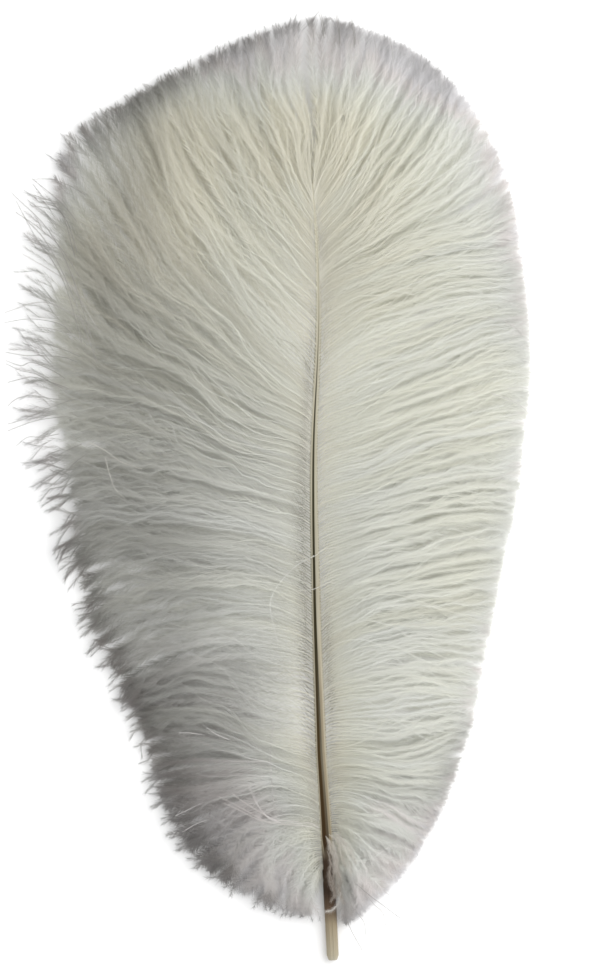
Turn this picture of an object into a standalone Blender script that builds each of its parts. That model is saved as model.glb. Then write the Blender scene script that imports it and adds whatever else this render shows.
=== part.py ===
"""A white ostrich plume lying on a flat surface, grooved side up.

A feather grows as one piece, so it is one solid: the shaft, with a groove along its upper face,
and the barbs on both sides of it, gathered into locks that end in separate points.
Metres, +Z up. The origin is under the middle of the plume, and +Y runs from quill to tip.
"""

import math

import bpy
from mathutils import Vector

MM = 0.001

# The shaft's centre line from the quill's cut end to the tip: x, y, z.
SHAFT_LINE_MM = [
    (38.4, -285.3, 3.6),
    (36.6, -248.7, 4.3),
    (34.5, -212.0, 5.2),
    (31.2, -158.7, 6.8),
    (28.2, -68.7, 8.8),
    (26.8, 20.0, 10.2),
    (29.6, 95.0, 12.0),
    (29.0, 142.0, 15.0),
    (26.0, 181.0, 20.0),
]
# Along the shaft: y, half width, half height, half width of the groove, depth of the groove.
SHAFT_SECTIONS_MM = [
    (-285.3, 2.6, 2.6, 0.50, 0.15),
    (-282.5, 3.6, 3.6, 0.60, 0.20),
    (-230.0, 3.7, 3.6, 0.80, 0.25),
    (-212.0, 3.9, 3.6, 1.90, 1.30),
    (-160.0, 3.5, 3.3, 1.70, 1.40),
    (-70.0, 2.9, 2.8, 1.10, 1.20),
    (20.0, 2.4, 2.3, 0.75, 0.90),
    (95.0, 1.9, 1.8, 0.45, 0.60),
    (142.0, 1.4, 1.3, 0.30, 0.35),
    (181.0, 0.7, 0.7, 0.12, 0.12),
]
SHAFT_STEPS = 30
SHAFT_FLANK_DEGREES = (52, 20, -15, -50, -90, -130, -165, 160, 128)

# How the barbs run, from the lowest to the topmost on each side: y of the root on the shaft,
# x and y of the tip, and the degrees above the sideways direction at which a barb leaves the
# shaft and arrives at its tip.
LEFT_BARBS_MM = [
    (-229, 19, -262, -50, -75),
    (-219, -4, -252, -15, -55),
    (-206, -32, -237, 8, -45),
    (-189, -62, -202, 24, -38),
    (-165, -80, -154, 27, -28),
    (-141, -85, -137, 24, -28),
    (-114, -92, -128, 12, -30),
    (-97, -101, -110, 22, -36),
    (-81, -111, -94, 24, -38),
    (-63, -120, -68, 20, -39),
    (-46, -130, -42, 18, -40),
    (-29, -139, -16, 22, -28),
    (-12, -148, 14, 22, -18),
    (5, -156, 52, 22, -6),
    (21, -154, 106, 22, 22),
    (37, -145, 180, 27, 48),
    (46, -128, 212, 31, 56),
    (57, -101, 226, 34, 62),
    (72, -90, 231, 37, 66),
    (89, -80, 236, 38, 65),
    (105, -69, 242, 40, 65),
    (122, -53, 252, 42, 67),
    (139, -34, 262, 45, 73),
    (156, -18, 270, 49, 78),
    (170, 2, 277, 60, 86),
    (178, 32, 289, 88, 90),
]
RIGHT_BARBS_MM = [
    (-229, 46, -264, -60, -80),
    (-219, 58, -256, -40, -60),
    (-207, 82, -237, -20, -45),
    (-189, 104, -211, -2, -32),
    (-172, 117, -181, 6, -18),
    (-158, 119, -152, -2, 14),
    (-142, 122, -138, 2, 4),
    (-128, 126, -122, 12, -12),
    (-113, 131, -95, 34, -12),
    (-96, 136, -72, 32, -10),
    (-79, 140, -50, 26, 2),
    (-63, 143, -33, 18, 6),
    (-46, 147, -17, 15, 2),
    (-29, 150, 0, 13, 8),
    (-12, 153, 19, 16, 12),
    (5, 156, 42, 28, 3),
    (21, 157, 61, 30, 0),
    (38, 157, 80, 28, 2),
    (55, 156, 99, 30, 6),
    (72, 154, 114, 33, 4),
    (89, 152, 128, 31, 4),
    (105, 150, 144, 28, 8),
    (121, 143, 182, 32, 42),
    (130, 128, 216, 38, 56),
    (140, 106, 244, 42, 68),
    (156, 90, 259, 46, 66),
    (170, 70, 271, 54, 70),
    (178, 34, 289, 86, 90),
]
LEAVE_REACH = 0.36  # share of the chord that a barb keeps to its first direction
ARRIVE_REACH = 0.34

# The locks: bundles of barbs with a ridge on top, every second one riding over its neighbours.
LOCKS_A_SIDE = 29
LOCK_OVERLAP = 1.6
LOCK_STATIONS = (0.0, 0.1, 0.24, 0.4, 0.56, 0.7, 0.82, 0.92, 1.0)
LOCK_LENGTHS = (1.0, 0.9, 0.97, 0.86, 0.99, 0.93, 0.95, 0.88)  # shares, taken in turn
LOCK_HALF_HEIGHT_MM = 3.1
LOCK_TIP_HALF_HEIGHT_MM = 0.45
LOCK_TIP_HALF_WIDTH_MM = 0.6
LOCK_ROOT_SHARE = 0.4  # half height at the root, as a share of the shaft's
LOCK_FULL_FROM = 0.3  # share of the length by which a lock has its full height
LOCK_TAPER_FROM = 0.6
LOCK_SOLE = 0.45  # half width of the flat underside, as a share of the lock's
UPPER_RISE_MM = 15.0
LOWER_RISE_MM = -1.0
UPPER_TIP_LIFT_MM = 3.2

BARB_WHITE = (0.74, 0.74, 0.68, 1)
BARB_ROUGHNESS = 0.8


def curve_point(rows, share):
    """The row at a share 0 to 1 of the way through rows, on a Catmull-Rom curve."""
    place = min(max(share, 0.0), 1.0) * (len(rows) - 1)
    i = min(int(place), len(rows) - 2)
    t = place - i
    a, b = rows[i], rows[i + 1]
    before = rows[i - 1] if i > 0 else [2 * p - q for p, q in zip(a, b)]
    after = rows[i + 2] if i + 2 < len(rows) else [2 * q - p for p, q in zip(a, b)]
    return [
        p1
        + 0.5 * (p2 - p0) * t
        + 0.5 * (2 * p0 - 5 * p1 + 4 * p2 - p3) * t**2
        + 0.5 * (3 * p1 - p0 - 3 * p2 + p3) * t**3
        for p0, p1, p2, p3 in zip(before, a, b, after)
    ]


def share_at(values, value):
    """The share 0 to 1 along rising values at which they reach value."""
    for i, (low, high) in enumerate(zip(values, values[1:])):
        if value <= high:
            return (i + (value - low) / (high - low)) / (len(values) - 1)
    return 1.0


def shaft_at(y_mm):
    """The shaft's centre at this y, in metres."""
    share = share_at([row[1] for row in SHAFT_LINE_MM], y_mm)
    return Vector(curve_point(SHAFT_LINE_MM, share)) * MM


def shaft_section(y_mm):
    """Half width, half height, groove half width and groove depth of the shaft, in metres."""
    place = share_at([row[0] for row in SHAFT_SECTIONS_MM], y_mm) * (len(SHAFT_SECTIONS_MM) - 1)
    i = min(max(int(place), 0), len(SHAFT_SECTIONS_MM) - 2)
    t = min(max(place - i, 0.0), 1.0)
    a, b = SHAFT_SECTIONS_MM[i], SHAFT_SECTIONS_MM[i + 1]
    return [(p + (q - p) * t) * MM for p, q in zip(a[1:], b[1:])]


def solid_through(name, rings):
    """A closed solid through rings of as many points each, clockwise as seen from the first ring."""
    count = len(rings[0])
    points = [point for ring in rings for point in ring]
    faces = [
        (r + i, r + (i + 1) % count, r + count + (i + 1) % count, r + count + i)
        for r in range(0, len(points) - count, count)
        for i in range(count)
    ]
    faces.append(tuple(reversed(range(count))))
    faces.append(tuple(range(len(points) - count, len(points))))
    mesh = bpy.data.meshes.new(name)
    mesh.from_pydata(points, [], faces)
    return bpy.data.objects.new(name, mesh)


def shaft_ring(y_mm):
    """The shaft's outline at this y: the groove's bottom, its right rim, round the flanks, its left rim."""
    centre = shaft_at(y_mm)
    ahead = (shaft_at(y_mm + 1) - shaft_at(y_mm - 1)).normalized()
    right = ahead.cross(Vector((0, 0, 1))).normalized()
    up = right.cross(ahead)
    wide, high, groove, depth = shaft_section(y_mm)
    rim = high * math.sqrt(1 - (groove / wide) ** 2)
    outline = [(0.0, rim - depth), (groove, rim)]
    for degrees in SHAFT_FLANK_DEGREES:
        angle = math.radians(degrees)
        outline.append((wide * math.cos(angle), high * math.sin(angle)))
    outline.append((-groove, rim))
    return [centre + right * u + up * v for u, v in outline]


def shaft_stations():
    """y of each ring, in millimetres: even steps, and each place where the section changes."""
    start, end = SHAFT_SECTIONS_MM[0][0], SHAFT_SECTIONS_MM[-1][0]
    step = (end - start) / SHAFT_STEPS
    changes = [row[0] for row in SHAFT_SECTIONS_MM]
    even = [start + step * i for i in range(1, SHAFT_STEPS)]
    return sorted(changes + [y for y in even if min(abs(y - c) for c in changes) > step / 2])


def barb_point(row, t):
    """The point at t, 0 to 1, along the middle of the barb that a row describes, from above."""
    root_y, tip_x, tip_y, leave, arrive = row
    root = shaft_at(root_y).to_2d()
    tip = Vector((tip_x, tip_y)) * MM
    side = -1 if tip.x < root.x else 1
    chord = (tip - root).length
    leave = math.radians(leave)
    arrive = math.radians(arrive)
    first = root + Vector((side * math.cos(leave), math.sin(leave))) * chord * LEAVE_REACH
    last = tip - Vector((side * math.cos(arrive), math.sin(arrive))) * chord * ARRIVE_REACH
    s = 1 - t
    return root * s**3 + first * 3 * s**2 * t + last * 3 * s * t**2 + tip * t**3


def evenly_spaced(rows):
    """A function from a share of the way round the outline to the share along rows that is there."""
    steps = 20 * len(rows)
    tips = [barb_point(curve_point(rows, i / steps), 1.0) for i in range(steps + 1)]
    run = [0.0]
    for a, b in zip(tips, tips[1:]):
        run.append(run[-1] + (b - a).length)
    return lambda share: share_at(run, min(max(share, 0.0), 1.0) * run[-1])


def lock_width(t):
    """The lock's width at t as a share of its full one: it draws in to a point at the tip."""
    return 1 - (max(0.0, t - LOCK_TAPER_FROM) / (1 - LOCK_TAPER_FROM)) ** 1.6


def lock_height(t, upper, root_y):
    """Height of the lock's middle above the surface and its half height, at t, in metres."""
    root_half = shaft_section(root_y)[1] * LOCK_ROOT_SHARE
    tip_half = LOCK_TIP_HALF_HEIGHT_MM * MM
    half = root_half + (LOCK_HALF_HEIGHT_MM * MM - root_half) * min(1.0, t / LOCK_FULL_FROM)
    half = tip_half + (half - tip_half) * lock_width(t) ** 0.7
    rise = (UPPER_RISE_MM if upper else LOWER_RISE_MM) * MM
    root_z = shaft_at(root_y).z
    tip_z = tip_half + (UPPER_TIP_LIFT_MM * MM if upper else 0.0)
    middle = root_z + (tip_z - root_z) * t + rise * math.sin(math.pi * t**0.85)
    return max(middle, half), half


def lock_rings(rows, outline_share, index):
    """The rings of one lock, each its left edge, its ridge, its right edge and its flat sole."""
    upper = index % 2 == 1
    length = LOCK_LENGTHS[index % len(LOCK_LENGTHS)]
    middle_row = curve_point(rows, outline_share((index + 0.5) / LOCKS_A_SIDE))
    rings = []
    for t in LOCK_STATIONS:
        spread = LOCK_OVERLAP / 2 * lock_width(t)
        low_row = curve_point(rows, outline_share((index + 0.5 - spread) / LOCKS_A_SIDE))
        high_row = curve_point(rows, outline_share((index + 0.5 + spread) / LOCKS_A_SIDE))
        reach = t * length
        place = barb_point(middle_row, reach)
        ahead = barb_point(middle_row, reach + 0.01) - place
        right = Vector((ahead.y, -ahead.x)).normalized()
        span = barb_point(high_row, reach) - barb_point(low_row, reach)
        half_width = max(abs(span.dot(right)) / 2, LOCK_TIP_HALF_WIDTH_MM * MM)
        z, half_height = lock_height(t, upper, middle_row[0])
        centre = place.to_3d() + Vector((0, 0, z))
        edge = right.to_3d() * half_width
        up = Vector((0, 0, half_height))
        sole = edge * LOCK_SOLE
        rings.append([centre - edge, centre + up, centre + edge, centre + sole - up, centre - sole - up])
    return rings


def barb_material():
    made = bpy.data.materials.new("barbs")
    made.use_nodes = True
    shader = made.node_tree.nodes["Principled BSDF"]
    shader.inputs["Base Color"].default_value = BARB_WHITE
    shader.inputs["Roughness"].default_value = BARB_ROUGHNESS
    return made


def build():
    for old in list(bpy.data.objects):
        bpy.data.objects.remove(old)
    feather = solid_through("feather", [shaft_ring(y) for y in shaft_stations()])
    feather.data.materials.append(barb_material())
    bpy.context.scene.collection.objects.link(feather)

    locks = bpy.data.collections.new("locks")
    bpy.context.scene.collection.children.link(locks)
    for side, rows in (("left", LEFT_BARBS_MM), ("right", RIGHT_BARBS_MM)):
        outline_share = evenly_spaced(rows)
        for index in range(LOCKS_A_SIDE):
            lock = solid_through(f"{side}_lock_{index}", lock_rings(rows, outline_share, index))
            lock.hide_render = True
            lock.display_type = "WIRE"
            locks.objects.link(lock)

    union = feather.modifiers.new("locks", "BOOLEAN")
    union.operation = "UNION"
    union.operand_type = "COLLECTION"
    union.collection = locks
    union.solver = "EXACT"


build()
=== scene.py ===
"""The looks of a white ostrich plume that lies grooved side up, seen from straight above.

The shaft is one mesh with its groove. The vanes are meshes of barbs: each barb is a thin tapering rib
with hundreds of fine barbules, which are single slivers. An undercoat of evenly spread barbs fills
the plume's outline, and a coat of barbs gathered in tufts lies over it. Over both lie strays, some
single barbs out of their row, and the down that curls over the quill. Lengths are in millimetres
until a mesh is made, in metres.

Every point of every mesh carries the map OFBake, and colour depends on nothing else. On a barb its
first number is how light the barb is there, painted shade and painted light included, and its second
how creamy; above 0.88 the first leads on from white to the brownish down. On the shaft they run
round it and along it.
"""

import math

import bpy
import numpy as np
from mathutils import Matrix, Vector


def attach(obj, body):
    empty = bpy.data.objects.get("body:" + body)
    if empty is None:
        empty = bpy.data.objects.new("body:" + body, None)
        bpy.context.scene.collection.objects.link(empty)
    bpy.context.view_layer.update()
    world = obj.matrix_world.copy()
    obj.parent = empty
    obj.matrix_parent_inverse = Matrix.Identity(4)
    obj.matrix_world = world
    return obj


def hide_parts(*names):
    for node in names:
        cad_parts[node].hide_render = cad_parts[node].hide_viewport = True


MM = 0.001
SEED = 11

# The shaft's centre line from the quill's cut end to the tip: x, y, z.
SHAFT_LINE_MM = [
    (38.4, -285.3, 3.6),
    (36.6, -248.7, 4.3),
    (34.5, -212.0, 5.2),
    (31.2, -158.7, 6.8),
    (28.2, -68.7, 8.8),
    (26.8, 20.0, 10.2),
    (29.6, 95.0, 12.0),
    (29.0, 142.0, 15.0),
    (26.0, 181.0, 20.0),
]
# Along the shaft: y, half width, half height, and the groove's half width, depth and distance
# to the right of the shaft's middle.
SHAFT_SECTIONS_MM = [
    (-285.3, 2.6, 2.6, 0.50, 0.15, 0.0),
    (-282.5, 3.6, 3.6, 0.60, 0.20, 0.0),
    (-230.0, 3.7, 3.6, 0.80, 0.25, -0.2),
    (-212.0, 3.9, 3.6, 2.10, 1.10, -0.5),
    (-160.0, 3.5, 3.3, 1.45, 1.10, -0.8),
    (-120.0, 3.2, 3.0, 1.05, 1.00, -0.9),
    (-70.0, 2.9, 2.8, 0.78, 0.90, -0.9),
    (20.0, 2.4, 2.3, 0.58, 0.70, -0.2),
    (60.0, 2.1, 2.0, 0.38, 0.50, 0.0),
    (95.0, 1.9, 1.8, 0.24, 0.30, 0.0),
    (142.0, 1.4, 1.3, 0.18, 0.12, 0.0),
    (181.0, 0.7, 0.7, 0.12, 0.05, 0.0),
]
SHAFT_RINGS = 200
# Extra rings that round the cut end off: how far from it they are; and how deep its hollow is.
END_RINGS_MM = [0.3, 0.8, 2.8]
HOLLOW_MM = 0.8
# Between these y the shaft's upper face goes from round, 2, to flatter.
ROUND_MM = (-245, -190)
# Steps across each half of the shaft's upper face beside the groove, and of its underside.
UPPER_STEPS = 8
LOWER_STEPS = 5
# Across the groove: places as shares of its half width, and their depths as shares of its depth.
GROOVE_ACROSS = [-1, -0.88, -0.55, 0, 0.55, 0.88, 1]
GROOVE_DEPTHS = [0, 0.7, 0.93, 1, 0.93, 0.7, 0]
# The map round the shaft: underside, left edge, the groove's lips, right edge, underside.
MAP_ROUND = (0.01, 0.2, 0.46, 0.54, 0.8, 0.99)
# The map along the shaft: where it begins, and how far it goes; and the least and most in any map.
MAP_START = 0.01
MAP_SHARE = 0.98
MAP_ENDS = (0.002, 0.998)
# Barbs grow out at this share of the shaft's half width, less of it over these y, and sunk a little.
ROOT_SHARE = 0.8
ROOT_SHARE_LOSS = 0.45
ROOT_LOSS_MM = (0, 110)
ROOT_FLATNESS = 3
ROOT_SINK_MM = 0.2

# How the barbs run, from the lowest to the topmost on each side: y of the root on the shaft,
# x and y of the longest tip, the degrees above the sideways direction at which a barb leaves the
# shaft and arrives at its tip, and the share of that length at which most barbs end.
LEFT_BARBS_MM = [
    (-229, 26, -262, -66, -84, 0.92),
    (-219, 1, -256, -25, -62, 0.92),
    (-206, -34, -240, 8, -45, 0.935),
    (-189, -65, -206, 24, -38, 0.93),
    (-165, -82, -156, 14, -24, 0.925),
    (-141, -87, -138, 14, -24, 0.94),
    (-114, -94, -128, 12, -30, 0.94),
    (-97, -102, -111, 22, -36, 0.945),
    (-81, -112, -95, 24, -38, 0.94),
    (-63, -120, -68, 20, -39, 0.93),
    (-46, -130, -42, 18, -40, 0.9),
    (-29, -139, -16, 18, -28, 0.86),
    (-12, -148, 14, 17, -18, 0.85),
    (5, -156, 52, 17, -6, 0.855),
    (21, -154, 106, 19, 22, 0.86),
    (37, -145, 180, 24, 48, 0.89),
    (46, -128, 212, 31, 56, 0.965),
    (57, -101, 227, 34, 62, 0.985),
    (72, -90, 233, 37, 66, 0.985),
    (89, -80, 239, 38, 65, 0.98),
    (105, -69, 245, 40, 65, 0.98),
    (122, -53, 254, 42, 67, 0.975),
    (139, -34, 263, 45, 73, 0.975),
    (156, -18, 270, 49, 78, 0.975),
    (170, 2, 277, 60, 86, 0.975),
    (178, 32, 284, 88, 90, 0.975),
]
RIGHT_BARBS_MM = [
    (-229, 46, -264, -60, -80, 0.99),
    (-219, 58, -256, -40, -60, 0.975),
    (-207, 80, -235, -20, -45, 0.975),
    (-189, 97, -208, -2, -32, 0.985),
    (-172, 109, -184, 6, -18, 0.985),
    (-158, 119, -152, -2, 14, 1.0),
    (-142, 122, -138, 2, 4, 1.0),
    (-128, 126, -122, 12, -12, 0.99),
    (-113, 131, -95, 34, -12, 0.995),
    (-96, 136, -72, 32, -10, 0.995),
    (-79, 140, -50, 26, 2, 0.995),
    (-63, 143, -33, 18, 6, 0.995),
    (-46, 147, -17, 15, 2, 0.99),
    (-29, 150, 0, 13, 8, 0.99),
    (-12, 153, 19, 16, 12, 0.99),
    (5, 156, 42, 20, 3, 0.99),
    (21, 157, 61, 21, 0, 0.995),
    (38, 157, 80, 20, 2, 0.995),
    (55, 156, 99, 22, 6, 1.0),
    (72, 154, 114, 33, 4, 1.0),
    (89, 152, 128, 31, 4, 1.0),
    (105, 150, 144, 28, 8, 1.0),
    (121, 143, 182, 32, 42, 1.0),
    (130, 128, 221, 38, 56, 0.995),
    (140, 108, 246, 42, 68, 0.99),
    (156, 90, 260, 46, 66, 0.985),
    (170, 70, 271, 54, 70, 0.985),
    (178, 34, 284, 86, 90, 0.975),
]
# How finely the spacing of the barbs is worked out, and how much more tips count in it than roots.
TABLE_ROWS = 600
TIPS_WEIGHT = 2
# How far a barb's curve keeps its direction at the shaft and at its tip, as shares of its chord.
LEAVE_REACH = 0.36
ARRIVE_REACH = 0.34
# Where a barb leaves the shaft it is bent toward the plume's tip.
ROOT_HOOK_MM = 2.8
ROOT_HOOK_LENGTH_MM = 3.8
BARB_STEPS = 20
# The places along a barb lie closer together near its root.
STEP_POWER = 1.1
# Barbs with their roots below the first y are down, and none is above the second. Down leans more.
DOWNY_MM = (-212, -172)
DOWNY_LEAN = 0.8
# How much tufts with loose 0 differ in layer, against those with 1, and how much barbs do.
LEAST_LAYERS = 0.4
LAYER_NOISE = 0.05
# Barbs that end inside the mass do so between these shares of its length.
INSIDE_ENDS = (0.4, 1)
# Whiskers, the barbs that go on past the mass: where they end between its edge and the longest tip,
# a power that makes most of them long, how far they part, and how long before the mass's edge.
WHISKER_ENDS = (0.1, 1.0)
WHISKER_POWER = 0.45
WHISKER_SPREAD_MM = 6.0
WHISKERS_PART = 0.15
# How far the coat's barbs draw together in pairs, and the share of its length where a barb begins to.
PAIR_PULL = 0.5
GATHER_FROM = 0.06
# Wave lengths: of a tuft's sway to the side and weave up and down, and of a barb's own ripple. Over
# which distances from the root these come in, and curl makes ripples higher, and how much.
SWAY_LENGTH_MM = (45, 100)
WEAVE_LENGTH_MM = (40, 90)
RIPPLE_LENGTH_MM = (18, 45)
SIDE_WAVES_MM = (5, 45)
WEAVE_MM = (10, 50)
CURL_MM = (60, 110)
CURL = 1.6
# Heights of a barb's tip and arch in the lowest layer, and how much more in the highest; a power
# that moves the arch's top toward the tip; and the least heights of ribs and barbules.
TIP_Z_MM = 0.9
TIP_Z_MORE_MM = 6.5
ARCH_MM = -7.0
ARCH_MORE_MM = 20.0
ARCH_POWER = 1.05
RIB_LOWEST_MM = 0.7
BARBULE_LOWEST_MM = 0.15
# How light barbs are before the painted shade darkens them, and how much tufts, barbs and barbules
# differ; how much tufts differ in cream; and how much darker a whisker's barbules are.
MIDDLE_TONE = 0.5
TUFT_TONE_NOISE = 0.028
BARB_TONE_NOISE = 0.02
BARBULE_TONE_NOISE = 0.03
TUFT_CREAM_NOISE = 0.07
WHISKER_DARKER = 0.36
# A rib's half width at its tip, how much more it is at its root, how that tapers, and how high its
# ridge is in half widths.
RIB_TIP_MM = 0.05
RIB_TAPER_MM = 0.14
RIB_TAPER_POWER = 0.7
RIB_RIDGE = 0.7
# How much lighter and creamier a rib is on its left side, ridge and right side, and a barbule at
# both ends of its base and at its point.
RIB_LIGHTER = [0.0, 0.02, 0.0]
RIB_CREAMIER = [0.0, 0.01, 0.02]
BARBULE_LIGHTER = [0.0, 0.01, 0.03]
BARBULE_CREAMIER = [0.0, 0.004, -0.02]
# Barbules: how small they are where the rib is bare, over which shares of that length they grow,
# and how they differ in length and width.
BARE_SIZE = 0.03
BARE_TO_FULL = (0.4, 1.5)
BARBULE_SIZES = (0.7, 1.15)
BARBULE_WIDTHS = (0.7, 1.3)
# Barbules grow up to this share of a barb.
LAST_PLACE = 0.9999
# How much fuller a whisker's tip is, and where a whisker begins, against the mass's edge.
WHISKER_FULLER = 0.3
WHISKER_BEGINS = (-0.04, 0.05)
# The share of their opening that all but the undercoat's barbules have by the root, and where it ends.
ROOT_OPENING = 0.45
ROOT_OPENING_MM = (5, 60)
# In degrees: how the opening differs, how much more it is and differs in down, its limits, and
# how the barbules tilt up.
OPENING_NOISE = 6
DOWNY_OPENING = 12
DOWNY_OPENING_NOISE = 8
OPENING_LIMITS = (4, 85)
TILT = 2
TILT_NOISE = 16
# Single barbs lie so far over the coat and the shaft, and sink so steeply beyond them.
OVER_COAT_MM = 0.8
OVER_COAT_SLOPE = 0.35
OVER_SHAFT_MM = 0.5
OVER_SHAFT_SLOPE = 1.5
SINGLE_LOWEST_MM = 1.0

# Along each side, by y of the barbs' tips:
# whiskers: the share of the coat's barbs that go on past the plume's mass; plush: how long the
# barbules on those are; curl: how much the barbs curl; edge: how much darker the mass is at its
# edge, painted shade, and band: the share of the length where that begins; tips: how much darker
# the barbs are in their tips, partly their own grey and partly painted shade. By y of the roots,
# root_shade: the painted shade between the barbs' bare roots. For the whole side, inside: the share
# of barbs that end before the mass does; uneven: how much the rest differ; loose: how far the coat's
# tufts lean, sway and weave, against the most that they do.
LEFT = {
    "rows": LEFT_BARBS_MM,
    "whiskers": [(-262, 0.5), (-130, 0.6), (-60, 1.0), (130, 1.0), (180, 0.7), (215, 0.6)],
    "plush": [(-262, 0.7), (-60, 0.8), (0, 0.9), (100, 0.9), (180, 0.6), (212, 0.3), (284, 0.25)],
    "curl": [(-262, 0.8), (-130, 1.3), (40, 1.2), (180, 1.0), (230, 0.4), (284, 0.2)],
    "edge": [
        (-262, 0.1), (-240, 0.35), (-200, 0.5), (-130, 0.6), (-80, 0.45), (-50, 0.3), (10, 0.0),
    ],
    "band": [(-262, 0.76), (-170, 0.84), (-130, 0.88), (-90, 0.85), (-50, 0.88)],
    "tips": [(-262, 0.1), (-60, 0.05), (0, 0.0), (170, 0.0), (205, 0.3), (284, 0.4)],
    "root_shade": [
        (-220, 0.1), (-170, 0.2), (-138, 0.5), (-100, 0.7), (-50, 0.9), (75, 0.9), (95, 0.4), (130, 0.0),
    ],
    "inside": 0.5,
    "uneven": 0.018,
    "loose": 0.8,
}
RIGHT = {
    "rows": RIGHT_BARBS_MM,
    "whiskers": [(-264, 0.15), (-220, 0.05), (200, 0.05), (240, 0.5), (284, 0.6)],
    "plush": [(-264, 0.6), (220, 0.5), (250, 0.3), (284, 0.25)],
    "curl": [(-264, 0.8), (-200, 0.5), (-100, 0.2), (284, 0.2)],
    "edge": [(-264, 0.1), (-150, 0.1), (60, 0.05), (150, 0.15), (284, 0.15)],
    "band": [(-264, 0.8)],
    "tips": [(-264, 0.1), (220, 0.1), (284, 0.2)],
    "root_shade": [
        (-165, 0.2), (-150, 0.45), (-90, 0.5), (-60, 0.2), (40, 0.1), (70, 0.4), (140, 0.4), (170, 0.0),
    ],
    "inside": 0.3,
    "uneven": 0.006,
    "loose": 0.3,
}
# Painted shade, and painted light where below 0: how much darker the plume is from its left edge to
# its right one, in its upper and lower half, and the y between which the one gives way to the other.
PAINTED_SHADE_ABOVE_MM = [(-150, 0.08), (-95, 0.25), (-38, 0.12), (28, 0.02), (60, -0.2), (150, -0.06)]
PAINTED_SHADE_BELOW_MM = [(-150, 0.32), (-60, 0.27), (-20, 0.11), (28, 0.05), (60, -0.2), (150, -0.06)]
LOWER_HALF_MM = (50, -50)
# Patches of painted shade that are darker, or of painted light that are lighter below 0: the amount,
# and then an axis and the two places on it between which the amount goes from nothing to all, once
# or more.
PAINTED_SHADE_PATCHES_MM = [
    (-0.1, ("y", 110, 170), ("x", -80, -45), ("x", 40, 10)),
    (0.18, ("y", 215, 268)),
    # Round the lower quill, darker partly for its brown and partly as painted shade.
    (0.35, ("y", -222, -236), ("x", 58, 44), ("x", 30, 36)),
    (0.15, ("y", -85, -130), ("x", 5, -35)),
    (0.2, ("y", -140, -175), ("x", -30, -65)),
    (0.2, ("y", -125, -165), ("x", 65, 105), ("y", -225, -205)),
    (0.1, ("y", -80, -110), ("y", -165, -140), ("x", -35, -15), ("x", 24, 8)),
]
# The painted shade at the edge: how much it and its beginning differ, how wide it is, and how it fades
# outermost; last, the share of the length from which the tips darken, partly as painted shade.
EDGE_NOISE = (0.3, 1.15)
BAND_NOISE = 0.02
BAND_WIDTH = 0.1
EDGE_FADE = 0.5
EDGE_FADE_FROM = 0.93
DARK_TIPS_FROM = 0.88
# Along a barb, the painted shade between the roots goes from nothing to all between these lengths.
ROOT_SHADE_MM = (9, 3)
# How creamy the plume is from its lower end to its tip; how much more beside the shaft, and at its
# lower end besides, and how far that reaches, which is twice as far there; and how much less the
# barbs' tips are.
CREAM_MM = [(-300, 0.12), (0, 0.48), (300, 1.14)]
SHAFT_CREAM = 0.6
SHAFT_CREAM_MORE = 0.3
SHAFT_CREAM_MM = 8
LOWER_END_MM = (0, -150)
TIP_CREAM = 0.25
TIP_CREAM_FROM = 0.8
# Patches that are creamier, or less so below 0.
CREAMIER_MM = [
    (0.2, ("x", 40, 120), ("y", 60, -60)),
    (0.25, ("x", -8, 8), ("x", 50, 34), ("y", 172, 190), ("y", 242, 226)),
    (0.2, ("y", 90, 160), ("x", -20, -50), ("x", -130, -100)),
    (-0.3, ("x", -105, -150)),
    (-0.6, ("x", -55, -110), ("y", 130, 200)),
    (-0.4, ("x", 50, 150), ("y", 50, 160)),
    (-0.25, ("x", 40, 110), ("y", 140, 220)),
    (-0.15, ("y", -170, -205)),
    (-0.9, ("y", 205, 262)),
]
# Broad waves that neighbouring barbs share: x and y of one crest to the next, height and phase.
WAVES_MM = [(62, 41, 1.1, 0.1), (90, -58, 1.4, 0.45), (-47, 75, 0.8, 0.8), (38, 120, 0.8, 0.3)]

# The kinds of barbs. barbs and triangles: how many a side; layers: how high they lie, from 0 to 1;
# tuft: the least that gather in one, and one more than the most; pull: how far they gather; lean
# and stray: how far tufts and barbs go aside, in mm; sway_mm, ripple_mm and weave_mm: the heights
# of their waves; light: how much lighter they are, which in the undercoat is painted light against
# the shade in the gaps between the coat's tufts. Then the barbules: their length, half width and
# opening from the rib; tip_barbules: how long they are at a barb's tip, and tip_mm: how far from it
# they get shorter; outward: under 1, more of them are in the outer part; bare_mm: how much of the
# rib is bare at the root, in the lowest and the highest layer.
UNDERCOAT = {
    "barbs": 230,
    "triangles": 180_000,
    "layers": (0.25, 0.65),
    "tuft": (1, 2),
    "pull": (0.0, 0.0),
    "lean": 0.0,
    "stray": 1.5,
    "sway_mm": 0.5,
    "ripple_mm": (0.2, 0.9),
    "weave_mm": (0.0, 1.0),
    # Painted light: lighter, so that the shade where it shows between the coat's tufts is less dark.
    "light": 0.06,
    "barbule_mm": 8.0,
    "half_width_mm": 0.26,
    "opening_degrees": 26,
    "tip_barbules": 0.5,
    "tip_mm": 6.0,
    "outward": 0.7,
    "bare_mm": (2.0, 4.0),
}
COAT = {
    "barbs": 300,
    "triangles": 280_000,
    "layers": (0.45, 1.0),
    "tuft": (2, 8),
    "pull": (0.0, 0.4),
    "lean": 10.0,
    "stray": 4.0,
    "sway_mm": 1.8,
    "ripple_mm": (0.2, 1.2),
    "weave_mm": (0.3, 1.7),
    "light": 0.0,
    "barbule_mm": 7.5,
    "half_width_mm": 0.13,
    "opening_degrees": 15,
    "tip_barbules": 0.3,
    "tip_mm": 10.0,
    "outward": 0.85,
    "bare_mm": (3.0, 7.0),
}
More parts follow.
